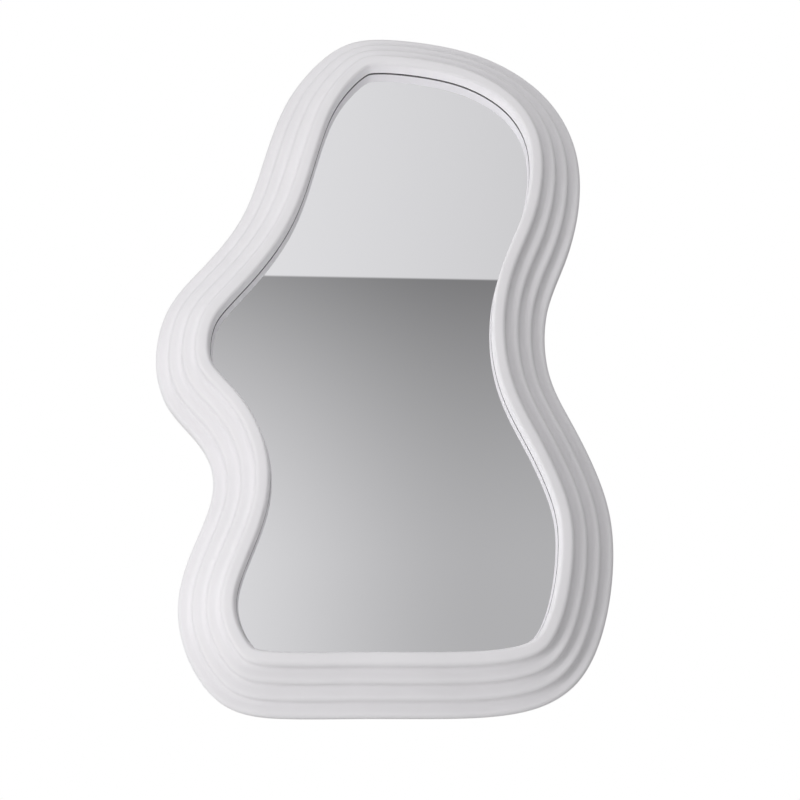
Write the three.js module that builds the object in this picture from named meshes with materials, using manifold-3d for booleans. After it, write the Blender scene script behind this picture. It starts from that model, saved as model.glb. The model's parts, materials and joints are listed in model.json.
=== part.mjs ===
// Wall mirror with an irregular, wavy outline. A foam moulding of four stepped tiers surrounds a
// silvered glass, and a board held by turn buttons closes the back. It hangs on two D-loops.
// Millimetres, +Z up. The front faces -Y. The origin is midway between the hooks, on the wall.
import * as THREE from 'three';
import { mergeVertices } from 'three/addons/utils/BufferGeometryUtils.js';
import Module from 'manifold-3d';

const wasm = await Module();
wasm.setup();

// ---------------------------------------------------------------- outline of the mirror
// The foot of the moulding's outer wall, seen from the front: [across, up] from the middle of the
// flat bottom edge, clockwise. The edge is a smooth closed curve through these points.
const outlinePoints = [
  [-103, 896], [-56, 937], [3, 948], // crown
  [84, 939], [161, 914], [231, 861], // long right shoulder
  [272, 782], [276, 694], [255, 610], // upper right bulge
  [225, 529], [224, 443], [252, 374], // right waist
  [284, 299], [298, 220], [285, 123], // lower right bulge
  [244, 42], [166, 6], // lower right corner
  [60, 0], [-30, 0], [-115, 0], // flat bottom edge
  [-194, 18], [-244, 88], [-250, 164], // lower left corner
  [-228, 233], [-216, 289], [-236, 341], // left notch
  [-279, 391], [-299, 455], [-286, 529], // left bulge
  [-242, 591], [-195, 661], [-168, 745], [-142, 831], // upper left side
];

// ---------------------------------------------------------------- driving dimensions
const mirrorWidth = 597; // the drawn points are stretched to this width and height
const mirrorHeight = 948;
const fitGap = 0.3; // between any two pieces that seat on each other

// Moulding, across its face from the wall to the glass
const tierCount = 4;
const tierPitch = 19.6; // from one riser to the next
const tierRise = 16.9; // height of one step
const riserDraft = 1.3; // how far each riser leans in from foot to edge
const landWidth = 16.9; // face of the innermost tier, next to the glass
const tierEdgeRadius = 6.5;
const tierRootRadius = 9;
const lipEdgeRadius = 4;
const lipDepth = 23.3; // from the innermost tier's face down to the glass
const glassCover = 8; // how far the lip reaches over the edge of the glass

// Glass, its seating and what fills the rebate behind it
const glassThickness = 5;
const glassEdgeClearance = 2; // between the glass and the wall of the rebate
const tapeThickness = 1;
const tapeWidth = 5;
const boardThickness = 9;
const boardClearance = 1; // round the board and the filler
const settingBlockLength = 50;
const settingBlockSpread = 90; // each block's middle from the middle of the bottom edge

// Turn buttons that hold the board
const buttonCount = 8;
const buttonSetback = 13; // pivot to the wall of the rebate
const buttonReach = 12; // how far the tip reaches over the board
const buttonPivotRadius = 7;
const buttonTipRadius = 5;
const buttonThickness = 1.2;
const buttonScrew = { shankRadius: 1.6, length: 18, headRadius: 3.4, headHeight: 2.1 };
const screwTipLength = 2; // of the point, in shank radii
const panHead = [[1, 0.45], [0.75, 0.85]]; // shoulders of a head: [share of radius, of height]

// Hangers: a strap folded round the bar of a D-loop, with two screws
const hangHeight = 700; // axis of the loops above the bottom edge
const loopWireRadius = 1.5;
const loopWidth = 24; // between the centres of its two sides
const loopHeight = 21; // from its bar to the centre of its bow
const loopCornerRadius = 3;
const strapWidth = 16;
const strapThickness = 1.2;
const strapLength = 44; // from the loop's axis to the strap's lower end
const strapEndRadius = 6;
const strapFold = 225; // degrees that the strap turns round the bar
const strapScrewPlaces = [12, 33]; // below the loop's axis
const strapScrew = { shankRadius: 1.8, length: 26, headRadius: 3.6, headHeight: 2.2 };
const screwHoleClearance = 0.3;

// Bumpers that keep the mirror off the wall
const bumperRadius = 8;
const bumperHeight = 7;
const bumperShoulders = [[0.9, 0.6], [0.55, 1]]; // [share of radius, share of height]
const bumperPlaces = [0.0625, 0.4375, 0.5625, 0.8125]; // shares of the way round, clockwise

// How finely curves are divided
const turnPerStation = 8; // degrees of bend between two stations of the outline
const leastStationsPerSpan = 2;
const arcSteps = 3; // in each rounded edge of the moulding
const roundSides = 14; // screws and bumpers
const wireSides = 8;
const holeSides = 12;
const bendShare = 0.98; // of a bulge's bend radius: the furthest that an edge is moved in

// ---------------------------------------------------------------- sizes that follow
const mouldingDepth = tierCount * tierRise;
const faceWidth = (tierCount - 1) * tierPitch + riserDraft + landWidth;
const glassFront = mouldingDepth - lipDepth;
const glassBack = glassFront - glassThickness;
const shoulderLevel = glassFront + tapeThickness + 2 * fitGap;
const glassInset = faceWidth - glassCover;
const rebateInset = glassInset - glassEdgeClearance;
const boardInset = rebateInset + boardClearance;
const wallGap = fitGap + bumperHeight;
const loopAxisLevel = -(fitGap + strapThickness + fitGap + loopWireRadius);
const loopLean = Math.asin((-loopAxisLevel - fitGap - loopWireRadius) / loopHeight);

// ---------------------------------------------------------------- materials
const surface = (settings) => new THREE.MeshStandardMaterial(settings);
const whiteLacquer = surface({ color: 0xeeecea, roughness: 0.55 });
const silveredGlass = surface({ color: 0xd9dbdd, roughness: 0.04, metalness: 1 });
const blackTape = surface({ color: 0x33312f, roughness: 0.9 });
const foamFiller = surface({ color: 0xf2f2ee, roughness: 0.85 });
const fibreboard = surface({ color: 0xa98660, roughness: 0.8 });
const rubber = surface({ color: 0x2a2a2a, roughness: 0.75 });
const zincSteel = surface({ color: 0xb9bcc0, roughness: 0.38, metalness: 1 });

// ---------------------------------------------------------------- outline
// The drawn points, stretched to the mirror's width and height.
function sizedPoints(points) {
  const span = (axis) => {
    const places = points.map((point) => point[axis]);
    return Math.max(...places) - Math.min(...places);
  };
  const [wider, taller] = [mirrorWidth / span(0), mirrorHeight / span(1)];
  return points.map(([across, up]) => [across * wider, up * taller]);
}

// Poles P of the closed cubic B-spline that runs through the points Q: they solve
// (P before + 4 P + P after) / 6 = Q. A pass for each point settles them.
function splinePoles(points) {
  const poles = points.map(([across, up]) => new THREE.Vector2(across, up));
  const count = poles.length;
  points.forEach(() => {
    poles.forEach((pole, i) => {
      const before = poles[(i + count - 1) % count];
      const after = poles[(i + 1) % count];
      pole.x = (6 * points[i][0] - before.x - after.x) / 4;
      pole.y = (6 * points[i][1] - before.y - after.y) / 4;
    });
  });
  return poles;
}

function blend(poles, weights) {
  const sum = new THREE.Vector2();
  poles.forEach((pole, i) => sum.addScaledVector(pole, weights[i]));
  return sum;
}

// Place, outward normal and bend radius at the share t of one span of the curve. The radius is
// positive where the outline bulges outward.
function stationAt(spanPoles, t) {
  const s = 1 - t;
  const middle = (share) => 3 * share ** 3 - 6 * share ** 2 + 4;
  const place = blend(spanPoles, [s ** 3, middle(t), middle(s), t ** 3]).divideScalar(6);
  const speed = blend(spanPoles, [-(s ** 2), 3 * t ** 2 - 4 * t, 4 * s - 3 * s ** 2, t ** 2])
    .divideScalar(2);
  const change = blend(spanPoles, [s, 3 * t - 2, 3 * s - 2, t]);
  const normal = new THREE.Vector2(-speed.y, speed.x).normalize();
  const bend = change.x * speed.y - change.y * speed.x;
  return { place, normal, radius: speed.length() ** 3 / bend };
}

// Stations round the outline, closer together where it bends more.
function outlineStations(points) {
  const poles = splinePoles(points);
  const count = poles.length;
  return poles.flatMap((_, i) => {
    const spanPoles = [count - 1, 0, 1, 2].map((shift) => poles[(i + shift) % count]);
    const turn = stationAt(spanPoles, 0).normal.angleTo(stationAt(spanPoles, 1).normal);
    const wanted = Math.ceil(THREE.MathUtils.radToDeg(turn) / turnPerStation);
    const steps = Math.max(leastStationsPerSpan, wanted);
    return Array.from({ length: steps }, (__, step) => stationAt(spanPoles, step / steps));
  });
}

const stations = outlineStations(sizedPoints(outlinePoints));

// A station's point moved in from the outline. In a bulge tighter than the inset it stops just
// short of the centre of the bend, so that an inner edge never crosses itself.
function insetPoint(station, inset) {
  const bendLimit = station.radius > 0 ? bendShare * station.radius : Infinity;
  return station.place.clone().addScaledVector(station.normal, -Math.min(inset, bendLimit));
}

const insetOutline = (inset) => stations.map((station) => insetPoint(station, inset));

// Distances along the outline at each station, for placing pieces round it.
const distances = [0];
stations.forEach((station, i) => {
  const next = stations[(i + 1) % stations.length];
  distances.push(distances[i] + station.place.distanceTo(next.place));
});
const perimeter = distances.at(-1);

// Point and inward direction at a share of the way round, at an inset from the outline.
function placeRound(share, inset) {
  const along = (share - Math.floor(share)) * perimeter;
  const i = distances.findIndex((distance) => distance > along) - 1;
  const part = (along - distances[i]) / (distances[i + 1] - distances[i]);
  const [here, next] = [stations[i], stations[(i + 1) % stations.length]];
  const point = insetPoint(here, inset).lerp(insetPoint(next, inset), part);
  const inward = here.normal.clone().lerp(next.normal, part).negate().normalize();
  return { point, inward };
}

// The part of an inset outline between two shares of the way round.
function insetStretch(fromShare, toShare, inset) {
  const between = stations
    .filter((_, i) => distances[i] > fromShare * perimeter && distances[i] < toShare * perimeter)
    .map((station) => insetPoint(station, inset));
  return [placeRound(fromShare, inset).point, ...between, placeRound(toShare, inset).point];
}

// Point at a height on the middle of the back rail: side 1 is the right one, -1 the left.
function railPoint(height, side) {
  const rail = insetOutline(rebateInset / 2);
  const crossings = rail.flatMap((from, i) => {
    const to = rail[(i + 1) % rail.length];
    const part = (height - from.y) / (to.y - from.y);
    return part >= 0 && part < 1 ? [from.clone().lerp(to, part)] : [];
  });
  return crossings.reduce((best, point) => (point.x * side > best.x * side ? point : best));
}

// ---------------------------------------------------------------- solids
function toSolid(geometry) {
  const bare = geometry.clone();
  ['normal', 'uv'].forEach((name) => bare.deleteAttribute(name));
  const merged = mergeVertices(bare);
  const mesh = new wasm.Mesh({
    numProp: 3,
    vertProperties: Float32Array.from(merged.attributes.position.array),
    triVerts: Uint32Array.from(merged.index.array),
  });
  return new wasm.Manifold(mesh);
}

function toGeometry(solid) {
  const { vertProperties, triVerts } = solid.getMesh();
  const geometry = new THREE.BufferGeometry();
  geometry.setAttribute('position', new THREE.BufferAttribute(vertProperties, 3));
  geometry.setIndex(new THREE.BufferAttribute(triVerts, 1));
  geometry.computeVertexNormals();
  return geometry;
}

// Closed ring: a closed section of [inset, level] pairs carried round a closed loop. placeOf
// gives the point of one loop station at an inset.
function ringGeometry(loop, placeOf, section) {
  const points = loop.flatMap((station) => section.map(([inset, level]) => {
    const point = placeOf(station, inset);
    return [point.x, point.y, level];
  }));
  const rows = loop.length;
  const columns = section.length;
  const index = [];
  for (let row = 0; row < rows; row += 1) {
    for (let column = 0; column < columns; column += 1) {
      const [nextRow, nextColumn] = [(row + 1) % rows, (column + 1) % columns];
      const [a, b] = [row * columns + column, nextRow * columns + column];
      const [c, d] = [nextRow * columns + nextColumn, row * columns + nextColumn];
      index.push(a, c, b, a, d, c);
    }
  }
  const geometry = new THREE.BufferGeometry();
  geometry.setAttribute('position', new THREE.Float32BufferAttribute(points.flat(), 3));
  geometry.setIndex(index);
  geometry.computeVertexNormals();
  return geometry;
}

// Flat piece between two levels in front of the moulding's back (negative levels lie behind it).
function plateGeometry(points, fromLevel, toLevel, holes = []) {
  const outline = THREE.ShapeUtils.isClockWise(points) ? [...points].reverse() : points;
  const shape = new THREE.Shape(outline);
  shape.holes = holes.map((hole) => new THREE.Path(hole));
  const depth = toLevel - fromLevel;
  return new THREE.ExtrudeGeometry(shape, { depth, bevelEnabled: false }).translate(0, 0, fromLevel);
}

// Points on an arc, counter-clockwise from one angle to the other, both ends included.
function arcPoints([x, y], radius, from, to, steps) {
  return Array.from({ length: steps + 1 }, (_, step) => {
    const angle = from + (to - from) * (step / steps);
    return new THREE.Vector2(x + radius * Math.cos(angle), y + radius * Math.sin(angle));
  });
}

const circlePoints = (radius, sides) => arcPoints([0, 0], radius, 0, 2 * Math.PI, sides).slice(0, -1);

// Round rod along the levels, for a hole to be cut at a point.
function rodSolid(point, radius, fromLevel, toLevel) {
  const rod = plateGeometry(circlePoints(radius, holeSides), fromLevel, toLevel);
  return toSolid(rod.translate(point.x, point.y, 0));
}

// Corners [across, level, radius] of a closed section, each rounded by an arc that touches both
// of its sides. A radius of 0 keeps the corner sharp.
function roundedSection(corners) {
  return corners.flatMap(([x, y, radius], i) => {
    const corner = new THREE.Vector2(x, y);
    if (radius === 0) return [[x, y]];
    const before = corners[(i + corners.length - 1) % corners.length];
    const after = corners[(i + 1) % corners.length];
    const back = new THREE.Vector2(before[0] - x, before[1] - y).normalize();
    const ahead = new THREE.Vector2(after[0] - x, after[1] - y).normalize();
    const halfAngle = Math.acos(back.dot(ahead)) / 2;
    const middle = back.clone().add(ahead).normalize();
    const centre = corner.clone().addScaledVector(middle, radius / Math.sin(halfAngle));
    const touch = radius / Math.tan(halfAngle);
    const first = corner.clone().addScaledVector(back, touch).sub(centre);
    const side = Math.sign(back.x * ahead.y - back.y * ahead.x);
    const sweep = side * (Math.PI - 2 * halfAngle);
    return Array.from({ length: arcSteps + 1 }, (_, step) => {
      const turned = first.clone().rotateAround(new THREE.Vector2(), -sweep * (step / arcSteps));
      return centre.clone().add(turned).toArray();
    });
  });
}

// ---------------------------------------------------------------- frame moulding
// The section climbs from the wall over the tiers to the lip, drops to the shoulder that covers
// the edge of the glass, and returns along the rebate to the flat back.
function mouldingSection() {
  const corners = [[0, 0, 0]];
  for (let tier = 0; tier < tierCount; tier += 1) {
    const foot = tier * tierPitch;
    const level = (tier + 1) * tierRise;
    corners.push([foot + riserDraft, level, tierEdgeRadius]);
    if (tier < tierCount - 1) corners.push([foot + tierPitch, level, tierRootRadius]);
  }
  corners.push([faceWidth, mouldingDepth, lipEdgeRadius], [faceWidth, shoulderLevel, 0]);
  corners.push([rebateInset, shoulderLevel, 0], [rebateInset, 0, 0]);
  return roundedSection(corners);
}

function frameMoulding(screwPlaces) {
  const ring = toSolid(ringGeometry(stations, insetPoint, mouldingSection()));
  const bored = screwPlaces.reduce((solid, { point, screw }) => {
    const depth = screw.length + screwHoleClearance;
    return solid.subtract(rodSolid(point, screw.shankRadius + screwHoleClearance, -fitGap, depth));
  }, ring);
  return toGeometry(bored);
}

// ---------------------------------------------------------------- glass and what backs it
const mirrorGlass = () => plateGeometry(insetOutline(glassInset), glassBack, glassFront);

const backBoard = () => plateGeometry(insetOutline(boardInset), 0, boardThickness);

function fillerPanel() {
  return plateGeometry(insetOutline(boardInset), boardThickness + fitGap, glassBack - fitGap);
}

// The tape lies under the lip, set back from the edge that shows.
function settingTape() {
  const outer = insetOutline(glassInset + fitGap);
  const inner = insetOutline(glassInset + fitGap + tapeWidth);
  return plateGeometry(outer, glassFront + fitGap, shoulderLevel - fitGap, [inner]);
}

// Share of the way round at which the flat bottom edge passes a place across.
function bottomShare(across) {
  const i = stations.findIndex(({ place, normal }, k) => {
    const next = stations[(k + 1) % stations.length].place;
    return normal.y < 0 && place.x >= across && next.x < across;
  });
  const next = stations[(i + 1) % stations.length].place;
  const part = (stations[i].place.x - across) / (stations[i].place.x - next.x);
  return (distances[i] + part * (distances[i + 1] - distances[i])) / perimeter;
}

// A block that carries the glass: it fills the clearance between the rebate and the glass along
// a stretch of the bottom edge round a place across.
function settingBlock(across) {
  const fromShare = bottomShare(across + settingBlockLength / 2);
  const toShare = bottomShare(across - settingBlockLength / 2);
  const under = insetStretch(fromShare, toShare, rebateInset + fitGap);
  const over = insetStretch(fromShare, toShare, glassInset - fitGap).reverse();
  return plateGeometry([...under, ...over], glassBack, glassFront);
}

// ---------------------------------------------------------------- fasteners
// Pan-head screw on its axis: the head stands behind its seat and the shank runs in to a point.
function screwGeometry({ shankRadius, length, headRadius, headHeight }) {
  const shoulders = panHead.map(([radius, height]) => [radius * headRadius, -height * headHeight]);
  const profile = [
    [0, length], [shankRadius, length - screwTipLength * shankRadius], [shankRadius, 0],
    [headRadius, 0], ...shoulders, [0, -headHeight],
  ].map(([radius, level]) => new THREE.Vector2(radius, level));
  return new THREE.LatheGeometry(profile.reverse(), roundSides).rotateX(Math.PI / 2);
}

// Turn button with its pivot at the origin and its arm along +Y.
function turnButton() {
  const arm = buttonSetback + buttonReach - buttonTipRadius;
  const flare = Math.asin((buttonPivotRadius - buttonTipRadius) / arm);
  const outline = [
    ...arcPoints([0, arm], buttonTipRadius, flare, Math.PI - flare, roundSides / 2),
    ...arcPoints([0, 0], buttonPivotRadius, Math.PI - flare, 2 * Math.PI + flare, roundSides / 2),
  ];
  const hole = circlePoints(buttonScrew.shankRadius + screwHoleClearance, holeSides);
  return plateGeometry(outline, -(fitGap + buttonThickness), -fitGap, [hole]);
}

function wallBumper() {
  const profile = [[0, 0], [1, 0], ...bumperShoulders, [0, 1]]
    .map(([radius, height]) => new THREE.Vector2(radius * bumperRadius, height * bumperHeight));
  const dome = new THREE.LatheGeometry(profile, roundSides);
  return dome.rotateX(-Math.PI / 2).translate(0, 0, -fitGap);
}

// ---------------------------------------------------------------- hangers
// D-shaped wire: a straight bar on the axis and a round bow above it.
function loopStations() {
  const half = loopWidth / 2;
  const corner = half - loopCornerRadius;
  const points = [
    ...arcPoints([corner, loopCornerRadius], loopCornerRadius, -Math.PI / 2, 0, arcSteps),
    ...arcPoints([0, loopHeight - half], half, 0, Math.PI, roundSides),
    ...arcPoints([-corner, loopCornerRadius], loopCornerRadius, Math.PI, 1.5 * Math.PI, arcSteps),
  ];
  return points.map((place, i) => {
    const along = points[(i + 1) % points.length].clone().sub(points.at(i - 1));
    return { place, normal: new THREE.Vector2(along.y, -along.x).normalize() };
  });
}

function hangerLoop() {
  const wire = circlePoints(loopWireRadius, wireSides).map((point) => [point.x, point.y]);
  const placeOf = ({ place, normal }, inset) => place.clone().addScaledVector(normal, -inset);
  return ringGeometry(loopStations(), placeOf, wire);
}

// Side view of the strap: its x points up, its y towards the wall.
const sideView = new THREE.Matrix4()
  .makeBasis(new THREE.Vector3(0, 1, 0), new THREE.Vector3(0, 0, -1), new THREE.Vector3(-1, 0, 0));

// Strap with its fold round the loop's bar, at the origin on the loop's axis. The side view is
// carried across the width, its lower end is rounded, and two screw holes are cut.
function hangerStrap() {
  const inner = loopWireRadius + fitGap;
  const outer = inner + strapThickness;
  const foldStart = -Math.PI / 2;
  const foldEnd = foldStart + THREE.MathUtils.degToRad(strapFold);
  const side = [
    new THREE.Vector2(-strapLength, -outer),
    ...arcPoints([0, 0], outer, foldStart, foldEnd, roundSides),
    ...arcPoints([0, 0], inner, foldEnd, foldStart, roundSides),
    new THREE.Vector2(-strapLength, -inner),
  ];
  const half = strapWidth / 2;
  const bar = plateGeometry(side, -half, half).applyMatrix4(sideView);
  const across = half - strapEndRadius;
  const low = strapEndRadius - strapLength;
  const face = [
    new THREE.Vector2(half, outer),
    new THREE.Vector2(-half, outer),
    ...arcPoints([-across, low], strapEndRadius, Math.PI, 1.5 * Math.PI, arcSteps),
    ...arcPoints([across, low], strapEndRadius, 1.5 * Math.PI, 2 * Math.PI, arcSteps),
  ];
  const trimmed = toSolid(bar).intersect(toSolid(plateGeometry(face, -2 * outer, 2 * outer)));
  const holeRadius = strapScrew.shankRadius + screwHoleClearance;
  const bored = strapScrewPlaces.reduce((solid, place) => (
    solid.subtract(rodSolid(new THREE.Vector2(0, -place), holeRadius, 0, 2 * outer))), trimmed);
  return toGeometry(bored);
}

// ---------------------------------------------------------------- assembly
// Everything is drawn on the wall: x across, y up from the bottom edge, z out from the moulding's
// back. One group stands the drawing up and puts the origin midway between the hooks.
const drawing = new THREE.Group();

function add(name, geometry, material, point = new THREE.Vector2(), level = 0) {
  const mesh = new THREE.Mesh(geometry, material);
  mesh.name = name;
  mesh.position.set(point.x, point.y, level);
  drawing.add(mesh);
  return mesh;
}

const hangers = { left: railPoint(hangHeight, -1), right: railPoint(hangHeight, 1) };
const strapScrews = Object.entries(hangers).flatMap(([side, { x, y }]) => (
  strapScrewPlaces.map((place, i) => (
    { name: `hanger_screw_${side}_${i + 1}`, point: new THREE.Vector2(x, y - place) }))));
const buttons = Array.from({ length: buttonCount }, (_, i) => (
  placeRound(i / buttonCount, rebateInset - buttonSetback)));

add('frame_moulding', frameMoulding([
  ...buttons.map(({ point }) => ({ point, screw: buttonScrew })),
  ...strapScrews.map(({ point }) => ({ point, screw: strapScrew })),
]), whiteLacquer);
add('setting_tape', settingTape(), blackTape);
add('mirror_glass', mirrorGlass(), silveredGlass);
add('filler_panel', fillerPanel(), foamFiller);
add('back_board', backBoard(), fibreboard);
add('setting_block_left', settingBlock(-settingBlockSpread), rubber);
add('setting_block_right', settingBlock(settingBlockSpread), rubber);

const seatOn = (thickness) => -(2 * fitGap + thickness); // of a screw head on a flat fitting

buttons.forEach(({ point, inward }, i) => {
  const button = add(`turn_button_${i + 1}`, turnButton(), zincSteel, point);
  button.rotation.z = Math.atan2(-inward.x, inward.y);
  const seat = seatOn(buttonThickness);
  add(`turn_button_screw_${i + 1}`, screwGeometry(buttonScrew), zincSteel, point, seat);
});

Object.entries(hangers).forEach(([side, point]) => {
  add(`hanger_strap_${side}`, hangerStrap(), zincSteel, point, loopAxisLevel);
  const loop = add(`hanger_loop_${side}`, hangerLoop(), zincSteel, point, loopAxisLevel);
  loop.rotation.x = loopLean;
});
strapScrews.forEach(({ name, point }) => (
  add(name, screwGeometry(strapScrew), zincSteel, point, seatOn(strapThickness))));

bumperPlaces.forEach((share, i) => {
  const { point } = placeRound(share, rebateInset / 2);
  add(`wall_bumper_${i + 1}`, wallBumper(), rubber, point);
});

const wallMirror = new THREE.Group();
drawing.rotation.x = Math.PI / 2;
drawing.position.set(-(hangers.left.x + hangers.right.x) / 2, -wallGap, -hangHeight);
wallMirror.add(drawing);

export default wallMirror;
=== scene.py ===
# The looks of a wavy wall mirror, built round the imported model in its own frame, in metres.
import bpy
import json
import math
import numpy as np
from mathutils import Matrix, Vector


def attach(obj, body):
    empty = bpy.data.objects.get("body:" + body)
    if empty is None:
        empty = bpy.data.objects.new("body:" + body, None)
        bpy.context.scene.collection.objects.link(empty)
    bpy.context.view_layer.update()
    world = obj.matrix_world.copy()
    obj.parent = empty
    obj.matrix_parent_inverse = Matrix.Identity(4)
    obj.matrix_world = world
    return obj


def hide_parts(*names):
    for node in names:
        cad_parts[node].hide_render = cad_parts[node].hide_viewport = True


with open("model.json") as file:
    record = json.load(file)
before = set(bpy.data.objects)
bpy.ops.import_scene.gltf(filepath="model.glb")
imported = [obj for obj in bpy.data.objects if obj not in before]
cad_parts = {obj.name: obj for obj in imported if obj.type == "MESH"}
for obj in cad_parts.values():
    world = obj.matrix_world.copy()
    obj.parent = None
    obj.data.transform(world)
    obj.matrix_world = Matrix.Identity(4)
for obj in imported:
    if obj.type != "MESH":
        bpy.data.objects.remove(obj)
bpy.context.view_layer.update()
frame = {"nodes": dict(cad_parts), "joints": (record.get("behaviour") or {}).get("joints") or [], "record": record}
nodes = frame["nodes"]
print("stage 1: frame loaded,", len(nodes), "nodes")

# ---- from the drawing to the frame ----
# Shapes are drawn in millimetres, as seen from the front: across, up from the bottom edge, and
# level, which counts out from the back of the moulding.
drawing = {
    "hooksAcross": 48.726,  # the middle of the two hooks
    "hookHeight": 700.0,
    "wallGap": 7.3,         # from the wall to the back of the moulding
    "fitGap": 0.3,
}


def toFrame(across, up, level):
    # x = across - hooks' middle, y = -(level + wall gap), z = up - hook height, all / 1000
    across, up, level = np.broadcast_arrays(across, up, level)
    places = np.stack([across - drawing["hooksAcross"], -(level + drawing["wallGap"]),
                       up - drawing["hookHeight"]], -1)
    return places / 1000


# ---- mesh helpers ----
def gridFaces(rows, columns, closedRows=False, closedColumns=True):
    # Quad (i, j) joins points (i, j), (i+1, j), (i+1, j+1) and (i, j+1), wrapping where closed
    i = np.arange(rows if closedRows else rows - 1)
    j = np.arange(columns if closedColumns else columns - 1)
    i, j = [index.ravel() for index in np.meshgrid(i, j, indexing="ij")]
    nextI, nextJ = (i + 1) % rows, (j + 1) % columns
    return np.stack([i * columns + j, nextI * columns + j, nextI * columns + nextJ,
                     i * columns + nextJ], -1)


def fanFaces(ring, pole):
    # Triangle k joins ring points k and k+1 to the pole
    return np.stack([ring, np.roll(ring, -1), np.full(len(ring), pole)], -1)


def solidVolume(points, faces):
    # Sum over the triangles of a face of a . (b x c) / 6
    total = 0.0
    for k in range(1, faces.shape[1] - 1):
        a, b, c = points[faces[:, 0]], points[faces[:, k]], points[faces[:, k + 1]]
        total += (a * np.cross(b, c)).sum() / 6
    return total


crispAngle = 38  # degrees: edges that turn by more are drawn sharp


def addPiece(name, points, faceSets, slotName, body, stands):
    # Faces are turned round together if the closed surface holds a negative volume. The piece
    # has its slot's material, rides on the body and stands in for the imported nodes.
    points = points.reshape(-1, 3)
    inward = sum(solidVolume(points, faces) for faces in faceSets) < 0
    faceList = []
    for faces in faceSets:
        faceList += (faces[:, ::-1] if inward else faces).tolist()
    mesh = bpy.data.meshes.new(name)
    mesh.from_pydata(points.tolist(), [], faceList)
    mesh.shade_smooth()
    mesh.set_sharp_from_angle(angle=math.radians(crispAngle))
    mesh.materials.append(materials[slotName])
    piece = bpy.data.objects.new(name, mesh)
    bpy.context.scene.collection.objects.link(piece)
    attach(piece, body)
    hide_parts(*stands)


def cappedTube(rings):
    # rings: rows x columns x 3, with a pole in the middle of each end ring
    rows, columns = rings.shape[:2]
    count = rows * columns
    points = np.vstack([rings.reshape(-1, 3), rings[0].mean(0), rings[-1].mean(0)])
    ends = [fanFaces(np.arange(columns)[::-1], count),
            fanFaces(np.arange(count - columns, count), count + 1)]
    return points, [gridFaces(rows, columns), np.vstack(ends)]


def roundedLoop(corners, steps):
    # Corner [x, y, radius]: an arc of that radius touches both sides, its centre lies at
    # radius / sin(half angle) along the bisector, and the arc turns through 180 - the angle.
    # Gives the points, and the directions square to the loop on the side away from the centre.
    corners = np.asarray(corners, float)
    place, radius = corners[:, :2], corners[:, 2]
    back = np.roll(place, 1, 0) - place
    ahead = np.roll(place, -1, 0) - place
    back /= np.linalg.norm(back, axis=1)[:, None]
    ahead /= np.linalg.norm(ahead, axis=1)[:, None]
    half = np.arccos(np.clip((back * ahead).sum(1), -1, 1)) / 2
    bisector = back + ahead
    bisector /= np.linalg.norm(bisector, axis=1)[:, None]
    centre = place + bisector * (radius / np.sin(half))[:, None]
    first = place + back * (radius / np.tan(half))[:, None] - centre
    side = np.sign(back[:, 0] * ahead[:, 1] - back[:, 1] * ahead[:, 0])
    turn = -(side * (math.pi - 2 * half))[:, None] * np.linspace(0, 1, steps + 1)
    arm = np.stack([first[:, :1] * np.cos(turn) - first[:, 1:] * np.sin(turn),
                    first[:, :1] * np.sin(turn) + first[:, 1:] * np.cos(turn)], -1)
    points = centre[:, None] + arm
    away = arm / np.maximum(radius, 1e-9)[:, None, None]
    kept = (radius > 0)[:, None] | (np.arange(steps + 1) == 0)
    return points[kept], away[kept]


# ---- outline ----
outline = {
    # foot of the moulding's outer wall, clockwise from the crown: across, up
    "points": [
        (-103, 896), (-56, 937), (3, 948), (84, 939), (161, 914), (231, 861), (272, 782),
        (276, 694), (255, 610), (225, 529), (224, 443), (252, 374), (284, 299), (298, 220),
        (285, 123), (244, 42), (166, 6), (60, 0), (-30, 0), (-115, 0), (-194, 18), (-244, 88),
        (-250, 164), (-228, 233), (-216, 289), (-236, 341), (-279, 391), (-299, 455), (-286, 529),
        (-242, 591), (-195, 661), (-168, 745), (-142, 831),
    ],
    "stepsPerSpan": 20,
    "bendShare": 0.98,  # of a bulge's bend radius: the furthest that an edge moves in
}


def outlineStations():
    # Closed cubic B-spline through the points Q. Its poles solve (before + 4 P + after) / 6 = Q,
    # and place, speed and change are the blends of four poles and their two derivatives.
    through = np.array(outline["points"], float)
    count = len(through)
    wheel = np.eye(count)
    blend = (4 * wheel + np.roll(wheel, 1, 0) + np.roll(wheel, -1, 0)) / 6
    poles = np.linalg.solve(blend, through)
    four = np.stack([np.roll(poles, 1 - k, 0) for k in range(4)], 1)
    t = np.arange(outline["stepsPerSpan"]) / outline["stepsPerSpan"]
    s = 1 - t
    placeShares = np.stack([s**3, 3*t**3 - 6*t**2 + 4, 3*s**3 - 6*s**2 + 4, t**3], 1) / 6
    speedShares = np.stack([-s**2, 3*t**2 - 4*t, 4*s - 3*s**2, t**2], 1) / 2
    changeShares = np.stack([s, 3*t - 2, 3*s - 2, t], 1)
    place, speed, change = [np.einsum("tk,nkd->ntd", shares, four).reshape(-1, 2)
                            for shares in (placeShares, speedShares, changeShares)]
    pace = np.linalg.norm(speed, axis=1)
    normal = np.stack([-speed[:, 1], speed[:, 0]], 1) / pace[:, None]
    bend = change[:, 0] * speed[:, 1] - change[:, 1] * speed[:, 0]
    limit = np.where(bend > 0, outline["bendShare"] * pace**3 / np.maximum(bend, 1e-9), 1e9)
    return place, normal, limit


# ---- shader helpers ----
def addNode(tree, kind, inputs=None, **settings):
    # Each input is linked if it is a socket, and otherwise set
    node = tree.nodes.new(kind)
    for key, value in settings.items():
        setattr(node, key, value)
    for key, value in (inputs or {}).items():
        if isinstance(value, bpy.types.NodeSocket):
            tree.links.new(value, node.inputs[key])
        else:
            node.inputs[key].default_value = value
    return node


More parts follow.
